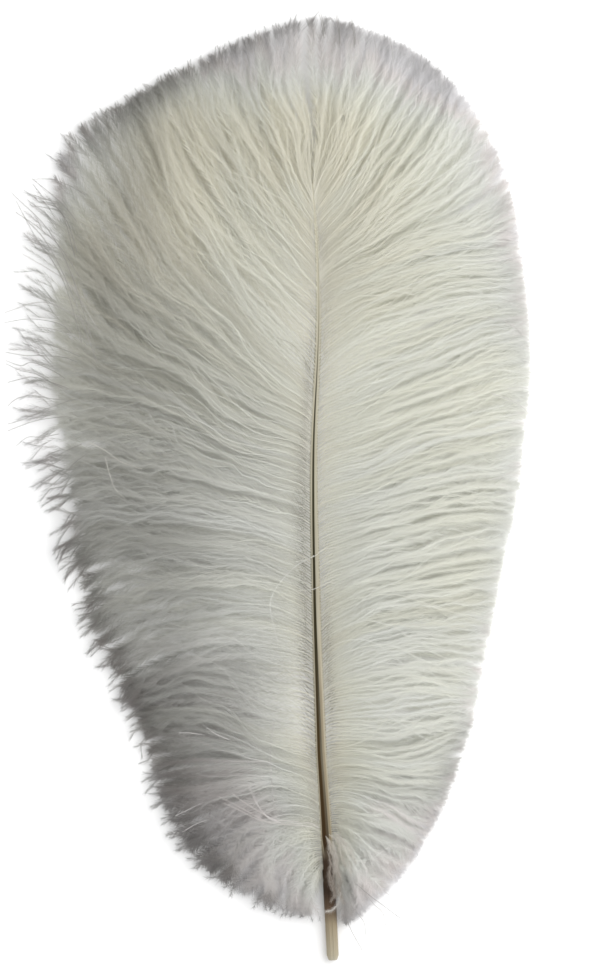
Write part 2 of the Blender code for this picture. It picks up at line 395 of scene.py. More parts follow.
STRAYS = {
    "barbs": 56,
    "triangles": 18_000,
    "layers": (0.8, 1.03),
    "tuft": (1, 2),
    "pull": (0.0, 0.0),
    "lean": 0.0,
    "stray": 30.0,
    "sway_mm": 2.0,
    "ripple_mm": (0.4, 1.6),
    "weave_mm": (0.0, 1.0),
    "light": 0.06,
    "barbule_mm": 4.0,
    "half_width_mm": 0.11,
    "opening_degrees": 14,
    "tip_barbules": 0.5,
    "tip_mm": 8.0,
    "outward": 1.0,
    "bare_mm": (3.0, 7.0),
}
LOOSE = {
    "triangles": 21_500,
    "barbule_mm": 2.4,
    "half_width_mm": 0.11,
    "opening_degrees": 13,
    "tip_barbules": 0.8,
    "tip_mm": 4.0,
    "outward": 1.0,
    "bare_mm": (0.4, 0.5),
}
# Single barbs out of their row: the first and second number on the map, and then x and y of one
# point after another that the barb passes. The darkest are partly grey barbs and partly painted
# shadow lines where barbs cross over the coat.
LOOSE_BARBS_MM = [
    (0.12, 0.2, -106, 88, -119, 128, -133, 154, -156, 177),
    (0.15, 0.2, -103, 74, -118, 115, -133, 145, -147, 161),
    (0.3, 0.2, -104, 96, -118, 119, -131, 129, -148, 139),
    (0.22, 0.2, -100, 92, -120, 104, -137, 110, -159, 104),
    (0.15, 0.9, 26, 66, 20, 78, 13, 85, 3, 89),
    (0.25, 0.9, 26, 64, 21, 74, 15, 80, 6, 85),
    (0.85, 0.3, 27, -42, 13, -51, 1, -69, 5, -93),
    (0.88, 0.5, 16, -46, 26, -43, 34, -38, 43, -37),
    (0.88, 0.5, 18, -63, 27, -62, 36, -58, 42, -60),
    (0.88, 0.2, 30, -205, 24, -202, 16, -202, 0, -201, -9, -197, -20, -191, -30, -186),
    (0.88, 0.2, 26, -204, 14, -203, 2, -202, -8, -199, -18, -194, -27, -190),
    (0.88, 0.2, 18, -201, 4, -200, -4, -196, -14, -190, -22, -184),
    (0.88, 0.1, 5, -201, -3, -196, -8, -189, -12, -179),
    (0.7, 0.1, 8, -202, 0, -199, -6, -192, -9, -184),
    (0.6, 0.1, -56, -198, -48, -194, -40, -190),
    (0.6, 0.1, -52, -208, -44, -203, -36, -200),
    (0.8, 0.1, -24, -152, -31, -149, -37, -145),
    (0.75, 0.1, -54, -148, -47, -148, -40, -149),
    # A dark barb that is a painted shadow line.
    (0.35, 0.2, 3, -141, 1, -160, 2, -180, 4, -198),
    (0.9, 0.4, -108, 26, -98, 21, -88, 14, -76, 10),
    (0.9, 0.4, -98, 17, -95, 6, -92, -2, -86, -8),
    (0.1, 0.1, 52, -238, 61, -246, 70, -253, 79, -260),
    (0.1, 0.1, 45, -248, 46, -258, 50, -268, 56, -279),
    (0.3, 0.1, 48, -244, 52, -254, 57, -262, 58, -270),
    (0.3, 0.1, 55, -240, 62, -250, 68, -256, 70, -264),
    (0.4, 0.1, 62, -236, 70, -244, 76, -247, 84, -248),
    (0.02, 0.2, 42, 262, 42, 270, 41, 277, 40, 284),
    (0.02, 0.2, 42.6, 264, 42.4, 271, 41.8, 277, 41, 284),
    (0.02, 0.2, 33, 268, 32, 274, 31, 279, 29, 285),
    (0.02, 0.2, 34, 270, 33, 275, 32, 280, 30, 285),
    (0.1, 0.2, 27, 266, 26, 272, 24, 276, 22, 280),
    (0.05, 0.2, 51, 262, 51, 269, 50, 275, 49, 281),
    (0.05, 0.2, 51.6, 264, 51.6, 270, 50.8, 275, 50, 280),
    (0.25, 0.2, 64, 254, 64, 259, 64, 263, 63, 267),
    (0.25, 0.2, 74, 255, 74, 261, 73, 265, 72, 270),
    (0.2, 0.2, -4, 258, -5, 264, -6, 269, -6, 273),
    (0.4, 0.2, 129, 151, 136, 157, 141, 166, 144, 175),
    (0.45, 0.4, 84, 136, 104, 143, 125, 146, 148, 146),
    (0.45, 0.4, 88, 132, 106, 139, 125, 142, 144, 141),
    (0.4, 0.2, 127, 101, 140, 99, 150, 93, 158, 85),
    (0.35, 0.2, 133, 55, 143, 52, 152, 47, 158, 41),
    (0.35, 0.2, 143, 58, 150, 59, 156, 58, 161, 57),
    (0.4, 0.2, 130, 3, 139, 5, 147, 9, 154, 14),
    (0.1, 0.2, -112, 86, -121, 117, -130, 135, -139, 147, -152, 171),
    (0.1, 0.2, -113, 124, -121, 137, -128, 146, -140, 156, -152, 164),
    (0.05, 0.2, -116, 136, -119, 147, -122, 158, -127, 165, -142, 168),
    (0.05, 0.2, -115, 140, -118, 150, -122, 160, -128, 167, -138, 170),
    (0.1, 0.2, -115, 158, -123, 168, -132, 176, -142, 184),
    (0.1, 0.2, -110, 174, -120, 180, -131, 184, -141, 184),
    (0.1, 0.2, -118, 91, -126, 97, -143, 100, -159, 98),
    (0.15, 0.2, -115, 88, -124, 92, -131, 94, -139, 95),
    (0.05, 0.2, -113, 77, -122, 81, -133, 85, -140, 89),
    (0.1, 0.2, -115, 74, -124, 77, -138, 78, -146, 78, -158, 80),
    (0.05, 0.2, -122, 64, -130, 69, -142, 74, -149, 72, -158, 75),
    (0.05, 0.2, -123, 58, -131, 62, -140, 67, -149, 69, -158, 73),
    (0.05, 0.2, -120, 58, -128, 61, -141, 65, -149, 64, -157, 62),
    (0.12, 0.2, -120, 51, -130, 52, -143, 54, -152, 52, -157, 48),
    (0.1, 0.2, -114, 52, -122, 50, -133, 46, -147, 40, -157, 37),
    (0.12, 0.2, -118, 41, -126, 41, -140, 39, -149, 36, -157, 33),
    (0.15, 0.2, -126, 31, -137, 29, -145, 29, -152, 24),
    (0.1, 0.2, -112, 25, -121, 21, -133, 15, -146, 10),
    (0.08, 0.2, -109, 19, -117, 13, -128, 2, -135, -3),
]
FLUFF = {
    "triangles": 6_500,
    "barbule_mm": 3.6,
    "half_width_mm": 0.05,
    "opening_degrees": 40,
    "tip_barbules": 0.5,
    "tip_mm": 6.0,
    "outward": 0.7,
    "bare_mm": (0.4, 0.8),
}
# The down that curls over the quill, given in the same way.
FLUFF_MM = [
    (0.93, 0.5, 34, -210, 36, -214, 38, -220, 40, -228),
    (0.92, 0.5, 35, -211, 38, -216, 41, -223, 41, -231),
    (0.93, 0.5, 36, -209, 41, -213, 43, -220, 46, -228),
    (0.92, 0.4, 38, -213, 40, -220, 40, -227, 43, -234),
    (0.91, 0.4, 40, -210, 45, -216, 48, -224, 49, -233),
    (0.93, 0.4, 36, -213, 37, -219, 40, -225, 39, -232),
    (0.92, 0.4, 39, -208, 43, -211, 48, -217, 52, -226),
    (0.98, 0.5, 35, -219, 37, -226, 36, -234, 38, -242),
    (0.97, 0.5, 36, -224, 39, -231, 38, -239, 40, -247),
    (0.97, 0.5, 38, -222, 41, -230, 41, -238, 43, -246),
    (0.96, 0.5, 39, -228, 43, -236, 42, -243, 45, -250),
    (0.98, 0.5, 36, -230, 38, -237, 40, -243, 37, -249),
    (0.9, 0.3, 43, -243, 42, -249, 38, -254, 34, -255),
]


def smooth(low, high, value):
    """0 up to low, 1 from high, and smooth between them."""
    t = np.clip((value - low) / (high - low), 0, 1)
    return t * t * (3 - 2 * t)


def unit(vectors):
    return vectors / np.maximum(np.linalg.norm(vectors, axis=-1, keepdims=True), 1e-9)


def rows_at(rows, share):
    """The rows at shares 0 to 1 of the way through them, on a Catmull-Rom curve."""
    rows = np.asarray(rows, float)
    padded = np.vstack([2 * rows[0] - rows[1], rows, 2 * rows[-1] - rows[-2]])
    place = np.clip(share, 0, 1) * (len(rows) - 1)
    i = np.minimum(place.astype(int), len(rows) - 2)
    t = (place - i)[..., None]
    p0, p1, p2, p3 = (padded[i + k] for k in range(4))
    bend = 2 * p0 - 5 * p1 + 4 * p2 - p3 + t * (3 * p1 - p0 - 3 * p2 + p3)
    return p1 + 0.5 * t * (p2 - p0 + t * bend)


def shaft_at(y):
    """x, y and z of the shaft's centre line at each y."""
    knots = np.array(SHAFT_LINE_MM)[:, 1]
    place = rows_at(SHAFT_LINE_MM, np.interp(y, knots, np.linspace(0, 1, len(knots))))
    place[..., 1] = y
    return place


def shaft_top(share, flatness):
    """The upper face's height, as a share of the half height, at this share of the half width."""
    return np.sqrt(np.clip(1 - np.abs(share) ** flatness, 0, 1))


def section_at(y):
    """The shaft's half width and height at y, and its groove's half width, depth and distance."""
    knots = np.array(SHAFT_SECTIONS_MM)
    return [np.interp(y, knots[:, 0], knots[:, k]) for k in range(1, 6)]


def root_at(y):
    """Where barbs grow out at each y: how far beside the shaft's middle, and z."""
    wide, high, *_ = section_at(y)
    share = ROOT_SHARE - ROOT_SHARE_LOSS * smooth(*ROOT_LOSS_MM, y)
    top = shaft_at(y)[..., 2] + high * shaft_top(share, ROOT_FLATNESS)
    return wide * share, top - ROOT_SINK_MM


def row_shares(rows):
    """A table of place and share: equal steps of place are spaced by roots and more by tips."""
    share = np.linspace(0, 1, TABLE_ROWS)
    ends = rows_at(rows, share)
    roots = np.abs(np.diff(ends[:, 0]))
    tips = np.linalg.norm(np.diff(ends[:, 1:3], axis=0), axis=1)
    weight = roots / roots.sum() + TIPS_WEIGHT * tips / tips.sum()
    place = np.concatenate([[0], np.cumsum(weight)]) / weight.sum()
    return place, share


def flow(row, t):
    """x and y at t, 0 to 1, along the barb of each row."""
    root_y, tip_x, tip_y, leave, arrive, _ = np.moveaxis(row, -1, 0)
    root = shaft_at(root_y)[..., :2]
    tip = np.stack([tip_x, tip_y], -1)
    side = np.where(tip_x < root[..., 0], -1.0, 1.0)
    root[..., 0] += side * root_at(root_y)[0]
    chord = np.linalg.norm(tip - root, axis=-1)[..., None]
    leave, arrive = np.radians(leave), np.radians(arrive)
    first = root + np.stack([side * np.cos(leave), np.sin(leave)], -1) * chord * LEAVE_REACH
    last = tip - np.stack([side * np.cos(arrive), np.sin(arrive)], -1) * chord * ARRIVE_REACH
    hook = np.exp(-t * chord[..., 0] / ROOT_HOOK_LENGTH_MM) * ROOT_HOOK_MM * np.cos(leave)
    t = t[..., None]
    s = 1 - t
    place = root * s**3 + first * 3 * s**2 * t + last * 3 * s * t**2 + tip * t**3
    place[..., 1] -= hook
    return place


def run_lengths(path):
    """How far along its path each point is."""
    steps = np.linalg.norm(np.diff(path, axis=1), axis=-1)
    return np.concatenate([np.zeros((len(path), 1)), np.cumsum(steps, axis=1)], axis=1)


def wave(lengths, height, wave_length, phase):
    """A sine wave along each barb."""
    return height[:, None] * np.sin(2 * math.pi * (lengths / wave_length[:, None] + phase[:, None]))


def shared_waves(path):
    """How far neighbouring barbs are moved aside together at each place."""
    total = np.zeros(path.shape[:2])
    for x, y, height, phase in WAVES_MM:
        crests = (path[..., 0] * x + path[..., 1] * y) / (x * x + y * y)
        total += height * np.sin(2 * math.pi * (crests + phase))
    return total


def look_up(table, value):
    """The number beside each value in a table of pairs, and between its rows in proportion."""
    return np.interp(value, *np.transpose(table))


def patches(table, x, y):
    """The sum of a table's patches at each place."""
    places = {"x": x, "y": y}
    total = 0
    for amount, *ways in table:
        for axis, nothing, all_of_it in ways:
            amount = amount * smooth(nothing, all_of_it, places[axis])
        total = total + amount
    return total


def painted_shade(path, lengths, own, along, side, kind, rng):
    """How much darker a barb is at each place than the plume's lightest part: painted shade, with
    painted light where below 0, and partly the tips' own grey.
    """
    x, y = path[..., 0], path[..., 1]
    low = smooth(*LOWER_HALF_MM, y)
    broad = look_up(PAINTED_SHADE_ABOVE_MM, x) * (1 - low) + look_up(PAINTED_SHADE_BELOW_MM, x) * low
    edge, start, tips = (look_up(side[name], own[:, 2]) for name in ("edge", "band", "tips"))
    edge = (edge * rng.uniform(*EDGE_NOISE, len(edge)))[:, None]
    start = (start + rng.normal(0, BAND_NOISE, len(start)))[:, None]
    fade = 1 - EDGE_FADE * smooth(EDGE_FADE_FROM, 1.0, along)
    ends = edge * smooth(start, start + BAND_WIDTH, along) * fade
    ends = ends + tips[:, None] * smooth(DARK_TIPS_FROM, 1.0, along)
    root_shade = look_up(side["root_shade"], own[:, 0])[:, None]
    roots = root_shade * smooth(*ROOT_SHADE_MM, lengths) * (kind is UNDERCOAT)
    return broad + patches(PAINTED_SHADE_PATCHES_MM, x, y) + ends + roots


def creaminess(path, along, lengths):
    """How creamy a barb is at each place, from 0 to 1: most near the shaft, least at the tips."""
    x, y = path[..., 0], path[..., 1]
    low = smooth(*LOWER_END_MM, y)
    by_shaft = np.exp(-lengths / (SHAFT_CREAM_MM * (1 + low)))
    by_shaft = by_shaft * (SHAFT_CREAM + SHAFT_CREAM_MORE * low)
    tips = TIP_CREAM * smooth(TIP_CREAM_FROM, 1.0, along)
    return look_up(CREAM_MM, y) + by_shaft + patches(CREAMIER_MM, x, y) - tips


def looseness(side, kind):
    """How far tufts lean, sway and weave, against the most that they do."""
    return 1 if kind is UNDERCOAT else side["loose"]


def downiness(own):
    """How downy each barb is, from 0 to 1."""
    return 1 - smooth(*DOWNY_MM, own[:, 0])


def for_tufts(limits, tuft, rng):
    """A random number between the limits for each barb, the same for all of a tuft."""
    return rng.uniform(*limits, len(tuft))[tuft]


def tuft_wave(lengths, height, wave_lengths, tuft, rng):
    """A wave that all barbs of a tuft share, of a length between those."""
    wave_length = for_tufts(wave_lengths, tuft, rng)
    return wave(lengths, height, wave_length, for_tufts((0, 1), tuft, rng))


def barb_ends(side, kind, own, rng):
    """Which barbs are whiskers, and the share of the longest length at which each barb ends."""
    count, mass = len(own), own[:, 5]
    full = 1 - side["uneven"] * np.abs(rng.normal(0, 1, count))
    inside = (rng.random(count) < side["inside"]) & (kind is not UNDERCOAT)
    full = np.where(inside, rng.uniform(*INSIDE_ENDS, count), full)
    whisker = (rng.random(count) < look_up(side["whiskers"], own[:, 2])) & (kind is COAT)
    past = rng.uniform(*WHISKER_ENDS, count) ** WHISKER_POWER
    return whisker, np.where(whisker, mass + (1 - mass) * past, mass * full)


def waved(path, lengths, side, kind, own, tuft, rng):
    """The paths with their waves to the side: each tuft's sway, each barb's ripple, shared ones."""
    count = len(own)
    sway_mm = for_tufts((0, 2), tuft, rng) * kind["sway_mm"] * looseness(side, kind)
    sway = tuft_wave(lengths, sway_mm, SWAY_LENGTH_MM, tuft, rng)
    ripple_mm = rng.uniform(*kind["ripple_mm"], count) * (1 + downiness(own))
    ripple_length = rng.uniform(*RIPPLE_LENGTH_MM, count)
    ripple = wave(lengths, ripple_mm, ripple_length, rng.random(count))
    curl = look_up(side["curl"], own[:, 2])[:, None]
    ripple = ripple * (1 + CURL * curl * smooth(*CURL_MM, lengths))
    ahead = unit(np.gradient(path, axis=1))
    across = np.stack([-ahead[..., 1], ahead[..., 0]], -1)
    aside = sway + ripple + shared_waves(path)
    return path + across * (aside * smooth(*SIDE_WAVES_MM, lengths))[..., None]


def heights(t, lengths, layer, side, kind, own, tuft, rng):
    """z of each barb at each place: an arch, with its tuft's weave."""
    root_z = root_at(own[:, 0])[1][:, None]
    end_z = (TIP_Z_MM + TIP_Z_MORE_MM * layer)[:, None]
    rise = (ARCH_MM + ARCH_MORE_MM * layer)[:, None]
    weave_mm = for_tufts(kind["weave_mm"], tuft, rng)
    weave = tuft_wave(lengths, weave_mm, WEAVE_LENGTH_MM, tuft, rng)
    z = root_z + (end_z - root_z) * t + rise * np.sin(math.pi * t**ARCH_POWER)
    z = z + looseness(side, kind) * weave * smooth(*WEAVE_MM, lengths)
    return np.maximum(z, RIB_LOWEST_MM)


def grow(side, kind, rng):
    """Barbs of one kind on one side, as arrays with one row a barb."""
    rows, count = side["rows"], kind["barbs"]
    place = np.arange(count) + 0.5
    tuft = np.repeat(np.arange(count), rng.integers(*kind["tuft"], count))[:count]
    middle = (np.bincount(tuft, place) / np.bincount(tuft))[tuft]
    places, shares = row_shares(rows)
    own = rows_at(rows, np.interp(place / count, places, shares))
    mass, downy, loose = own[:, 5], downiness(own), looseness(side, kind)

    high = kind["layers"][1]
    below = high - for_tufts(kind["layers"], tuft, rng)
    below = below * (LEAST_LAYERS + (1 - LEAST_LAYERS) * loose)
    layer = np.clip(high - below + rng.normal(0, LAYER_NOISE, count), 0, high)
    apart = np.linalg.norm(np.gradient(own[:, 1:3], axis=0), axis=1)
    lean = rng.normal(0, kind["lean"] * loose, count)[tuft] / apart * (1 + DOWNY_LEAN * downy)
    stray = rng.normal(0, kind["stray"], count) / apart * (1 + downy)
    whisker, reach = barb_ends(side, kind, own, rng)

    t = np.linspace(0, 1, BARB_STEPS + 1)[None, :] ** STEP_POWER
    along = reach[:, None] * t
    pair = (place // 2 * 2 + 1 - place) * PAIR_PULL * (kind is COAT)
    pull = for_tufts(kind["pull"], tuft, rng)
    shift = (middle - place) * pull * loose + lean + stray + pair
    moved = place[:, None] + shift[:, None] * smooth(GATHER_FROM, 1.0, along)
    apart_again = whisker * rng.normal(0, WHISKER_SPREAD_MM, count) / apart
    moved = moved + apart_again[:, None] * smooth(mass[:, None] - WHISKERS_PART, 1.0, along)
    path = flow(rows_at(rows, np.interp(moved / count, places, shares)), along)
    lengths = run_lengths(path)
    path = waved(path, lengths, side, kind, own, tuft, rng)
    z = heights(t, lengths, layer, side, kind, own, tuft, rng)

    tone = kind["light"] + rng.normal(MIDDLE_TONE, TUFT_TONE_NOISE, count)[tuft]
    tone = tone + rng.normal(0, BARB_TONE_NOISE, count)
    shade = painted_shade(path, lengths, own, along / mass[:, None], side, kind, rng)
    cream = rng.normal(0, TUFT_CREAM_NOISE, count)[tuft][:, None] + creaminess(path, along, lengths)
    return {
        "path": np.concatenate([path, z[..., None]], -1),
        "along": along,
        "mass": mass,
        "layer": layer,
        "tone": tone[:, None] - shade,
        "cream": cream,
        "whisker": whisker,
        "plush": look_up(side["plush"], own[:, 2]),
        "downy": downy,
    }


def height_over(places, coat):
    """z just above the coat's barbs and the shaft at each x and y; it falls away beyond them."""
    points = coat.reshape(-1, 3)
    away = np.linalg.norm(places[..., None, :] - points[:, :2], axis=-1)
    over_coat = np.max(points[:, 2] - OVER_COAT_SLOPE * away, axis=-1) + OVER_COAT_MM
    centre = shaft_at(places[..., 1])
    wide, high, *_ = section_at(places[..., 1])
    beside = np.maximum(np.abs(places[..., 0] - centre[..., 0]) - wide, 0)
    over_shaft = centre[..., 2] + high + OVER_SHAFT_MM - OVER_SHAFT_SLOPE * beside
    return np.maximum(np.maximum(over_coat, over_shaft), SINGLE_LOWEST_MM)


def loose_barbs(strands, coat, downy):
    """The barbs that lie out of their row, over the coat, as grow gives the others."""
    share = np.linspace(0, 1, BARB_STEPS + 1)
    places = np.stack([rows_at(np.reshape(line, (-1, 2)), share) for _, _, *line in strands])
    height = np.stack([height_over(place, coat) for place in places])
    count = len(places)
    ones = np.ones((count, len(share)))
    return {
        "path": np.concatenate([places, height[..., None]], -1),
        "along": ones * share,
        "mass": np.ones(count),
        "layer": np.ones(count),
        "tone": ones * np.array([strand[0] for strand in strands])[:, None],
        "cream": ones * np.array([strand[1] for strand in strands])[:, None],
        "whisker": np.zeros(count, bool),
        "plush": np.ones(count),
        "downy": np.full(count, downy),
    }


def frames(path):
    """The direction along each path, the level direction to its left, and the one above both."""
    ahead = unit(np.gradient(path, axis=1))
    left = unit(np.stack([-ahead[..., 1], ahead[..., 0], np.zeros(ahead.shape[:2])], -1))
    return ahead, left, np.cross(ahead, left)


def rib_mesh(barbs):
    """Each barb's rib, a ridged strip: points, triangles, and tone and cream of each point."""
    path = barbs["path"]
    count, stations = path.shape[:2]
    _, left, up = frames(path)
    t = np.linspace(0, 1, stations)[None, :, None]
    width = RIB_TAPER_MM * (1 - t) ** RIB_TAPER_POWER + RIB_TIP_MM
    points = np.stack([path + left * width, path + up * width * RIB_RIDGE, path - left * width], 2)
    a = (np.arange(count)[:, None] * stations + np.arange(stations - 1)[None, :]).ravel() * 3
    strip = [np.stack([a + k, a + k + 1, a + k + 4, a + k, a + k + 4, a + k + 3], -1) for k in (0, 1)]
    triangles = np.concatenate([half.reshape(-1, 3) for half in strip])
    tone = barbs["tone"][..., None] + np.array(RIB_LIGHTER)
    cream = barbs["cream"][..., None] + np.array(RIB_CREAMIER)
    return points.reshape(-1, 3), triangles[:, ::-1], tone.ravel(), cream.ravel()


def barbule_places(counts, kind, stations, rng):
    """Where barbules stand: the number of the barb, a station on it, and the part beyond that."""
    barb = np.repeat(np.arange(len(counts)), counts)
    number = np.arange(len(barb)) - np.repeat(np.cumsum(counts) - counts, counts)
    t = ((number + rng.random(len(barb))) / counts[barb]) ** kind["outward"]
    place = np.clip(t, 0, LAST_PLACE) * (stations - 1)
    station = place.astype(int)
    return barb, station, (place - station)[:, None]


def barbule_lengths(barbs, kind, barb, distance, to_tip, whisker, rng):
    """How long each barbule is."""
    least, most = kind["bare_mm"]
    bare = least + (most - least) * barbs["layer"][barb]
    full = BARE_SIZE + (1 - BARE_SIZE) * smooth(*BARE_TO_FULL, distance / bare)
    at_tip = kind["tip_barbules"] + WHISKER_FULLER * whisker
    near_tip = at_tip + (1 - at_tip) * smooth(0, kind["tip_mm"], to_tip)
    shorter = 1 - whisker * (1 - barbs["plush"][barb])
    return kind["barbule_mm"] * full * near_tip * shorter * rng.uniform(*BARBULE_SIZES, len(barb))


def barbule_angles(kind, distance, downy, rng):
    """How far each barbule opens from its rib, in radians."""
    share = ROOT_OPENING + (1 - ROOT_OPENING) * smooth(*ROOT_OPENING_MM, distance)
    opening = kind["opening_degrees"] * (1 if kind is UNDERCOAT else share) + DOWNY_OPENING * downy
    angle = rng.normal(opening, OPENING_NOISE + DOWNY_OPENING_NOISE * downy)
    return np.radians(np.clip(angle, *OPENING_LIMITS))


def barbule_mesh(barbs, kind, triangles, rng):
    """The barbules: slivers with their bases along the rib and their points outward and ahead."""
    path = barbs["path"]
    lengths = run_lengths(path)
    counts = np.maximum(1, (triangles * lengths[:, -1] / lengths[:, -1].sum()).astype(int))
    barb, station, part = barbule_places(counts, kind, path.shape[1], rng)
    total = len(barb)

    def at_base(values):
        return values[barb, station] * (1 - part) + values[barb, station + 1] * part

    ahead, left, _ = frames(path)
    base = at_base(path)
    ahead = unit(at_base(ahead))
    left = unit(at_base(left))
    up = np.cross(ahead, left)
    distance, along, tone, cream = (
        at_base(values[..., None])[:, 0]
        for values in (lengths, barbs["along"], barbs["tone"], barbs["cream"])
    )
    past_mass = along - barbs["mass"][barb]
    whisker = barbs["whisker"][barb] * smooth(*WHISKER_BEGINS, past_mass)
    to_tip = lengths[barb, -1] - distance
    size = barbule_lengths(barbs, kind, barb, distance, to_tip, whisker, rng)
    side = np.where(rng.random(total) < 0.5, -1.0, 1.0)
    angle = barbule_angles(kind, distance, barbs["downy"][barb], rng)
    tilt = np.radians(rng.normal(TILT, TILT_NOISE, total))
    out = left * (side * np.cos(tilt))[:, None] + up * np.sin(tilt)[:, None]
    reach = ahead * np.cos(angle)[:, None] + out * np.sin(angle)[:, None]
    half = ahead * (kind["half_width_mm"] * rng.uniform(*BARBULE_WIDTHS, total))[:, None]
    points = np.stack([base - half, base + half, base + reach * size[:, None]], 1)
    points[..., 2] = np.maximum(points[..., 2], BARBULE_LOWEST_MM)
    faces = np.arange(total * 3).reshape(-1, 3)
    faces[side < 0] = faces[side < 0][:, ::-1]
    tone = tone + rng.normal(0, BARBULE_TONE_NOISE, total) - WHISKER_DARKER * whisker
    tones = tone[:, None] + np.array(BARBULE_LIGHTER)
    creams = cream[:, None] + np.array(BARBULE_CREAMIER)
    return points.reshape(-1, 3), faces, tones.ravel(), creams.ravel()


def new_object(name, data):
    """A new object in the scene."""
    made = bpy.data.objects.new(name, data)
    bpy.context.scene.collection.objects.link(made)
    return made


def mesh_object(name, points_mm, faces, uv, material):
    """A mesh object of triangles in metres, with the map OFBake, one pair a point."""
    mesh = bpy.data.meshes.new(name)
    mesh.vertices.add(len(points_mm))
    mesh.vertices.foreach_set("co", (points_mm * MM).astype(np.float32).ravel())
    mesh.loops.add(faces.size)
    mesh.loops.foreach_set("vertex_index", faces.astype(np.int32).ravel())
    mesh.polygons.add(len(faces))
    mesh.polygons.foreach_set("loop_start", np.arange(0, faces.size, 3, dtype=np.int32))
    mesh.update(calc_edges=True)
    layer = mesh.uv_layers.new(name="OFBake")
    layer.uv.foreach_set("vector", uv[faces.ravel()].astype(np.float32).ravel())
    mesh.materials.append(material)
    return new_object(name, mesh)


def keep(piece):
    """Puts the piece on the feather's body, in place of its solid."""
    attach(piece, "root")
    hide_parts("feather")


def add_barbs(name, barbs, kind, pieces, material, rng):
    count = len(barbs["path"])
    budget = (kind["triangles"] - count * BARB_STEPS * 4) // pieces
    for number, chosen in enumerate(np.array_split(np.arange(count), pieces), 1):
        part = {key: value[chosen] for key, value in barbs.items()}
        meshes = [rib_mesh(part), barbule_mesh(part, kind, budget, rng)]
        points = np.concatenate([m[0] for m in meshes])
        faces = np.concatenate([meshes[0][1], meshes[1][1] + len(meshes[0][0])])
        uv = np.stack([np.concatenate([m[k] for m in meshes]) for k in (2, 3)], 1)
        own_name = name if pieces == 1 else f"{name}_{number}"
        uv = np.clip(uv, *MAP_ENDS)
        keep(mesh_object(own_name, points, faces, uv, material))


def shaft_ring(wide, high, groove, depth, offset, flatness):
    """One ring of the shaft from the middle of its underside round by the left: across, up and map."""
    quarter = np.linspace(0, math.pi / 2, UPPER_STEPS + 1)
    left_lip, right_lip = offset - groove, offset + groove
    over_left = -wide + (left_lip + wide) * (1 - np.cos(quarter[:-1]))
    in_groove = offset + groove * np.array(GROOVE_ACROSS)
    over_right = right_lip + (wide - right_lip) * np.sin(quarter[1:])
    top_u = np.concatenate([over_left, in_groove, over_right])
    top_v = high * shaft_top(top_u / wide, flatness)
    lip = len(over_left)
    top_v[lip : lip + len(in_groove)] -= depth * np.array(GROOVE_DEPTHS)
    low_x, left_x, left_lip_x, right_lip_x, right_x, high_x = MAP_ROUND
    top_x = [
        np.linspace(left_x, left_lip_x, UPPER_STEPS + 1)[:-1],
        np.linspace(left_lip_x, right_lip_x, len(in_groove)),
        np.linspace(right_lip_x, right_x, UPPER_STEPS + 1)[1:],
    ]
    under = np.linspace(0, math.pi / 2, LOWER_STEPS + 1)[:-1]
    rest = under + math.pi / 2 / LOWER_STEPS
    u = np.concatenate([-wide * np.sin(under), top_u, wide * np.cos(rest)])
    v = np.concatenate([-high * np.cos(under), top_v, -high * np.sin(rest)])
    left_under_x = np.linspace(low_x, left_x, LOWER_STEPS + 1)[:-1]
    right_under_x = np.linspace(right_x, high_x, LOWER_STEPS + 1)[1:]
    x = np.concatenate([left_under_x, *top_x, right_under_x])
    return u, v, x


def shaft_mesh():
    """The shaft with its groove: points, triangles, and the map of each point."""
    low, high = SHAFT_SECTIONS_MM[0][0], SHAFT_SECTIONS_MM[-1][0]
    end = low + np.array(END_RINGS_MM)
    y = np.sort(np.concatenate([np.linspace(low, high, SHAFT_RINGS), end]))
    centre = shaft_at(y)
    ahead = unit(np.gradient(centre, axis=0))
    right = unit(np.stack([ahead[:, 1], -ahead[:, 0], np.zeros(len(y))], -1))
    up = np.cross(right, ahead)
    rings, maps = [], []
    for n in range(len(y)):
        u, v, x = shaft_ring(*section_at(y[n]), 2 + smooth(*ROUND_MM, y[n]))
        rings.append(centre[n] + right[n] * u[:, None] + up[n] * v[:, None])
        along = n / (len(y) - 1) * MAP_SHARE + MAP_START
        maps.append(np.stack([x, np.full(len(x), along)], -1))
    around = len(rings[0])
    a = (np.arange(len(y) - 1)[:, None] * around + np.arange(around - 1)[None, :]).ravel()
    lower = np.stack([a, a + around, a + around + 1], -1)
    upper = np.stack([a, a + around + 1, a + 1], -1)
    edge = np.arange(around - 1)
    middle = len(y) * around
    top = middle - around
    low_cap = np.stack([np.full(around - 1, middle), edge, edge + 1], -1)
    high_cap = np.stack([np.full(around - 1, middle + 1), top + edge + 1, top + edge], -1)
    points = np.concatenate([*rings, centre[:1] + [0, HOLLOW_MM, 0], centre[-1:]])
    uv = np.concatenate([*maps, [[0.5, end] for end in MAP_ENDS]])
    return points, np.concatenate([lower, upper, low_cap, high_cap]), uv


def ramp(tree, source, stops):
    """A colour ramp on source, whose stops are (position, red, green, blue)."""
    node = tree.nodes.new("ShaderNodeValToRGB")
    while len(node.color_ramp.elements) < len(stops):
        node.color_ramp.elements.new(1.0)
    for element, (position, *colour) in zip(node.color_ramp.elements, stops):
        element.position = position
        element.color = (*colour, 1)
    tree.links.new(source, node.inputs["Fac"])
    return node.outputs["Color"]


def grey(tree, source, stops):
    """A ramp of greys on source, whose stops are (position, value)."""
    return ramp(tree, source, [(position, *[value] * 3) for position, value in stops])


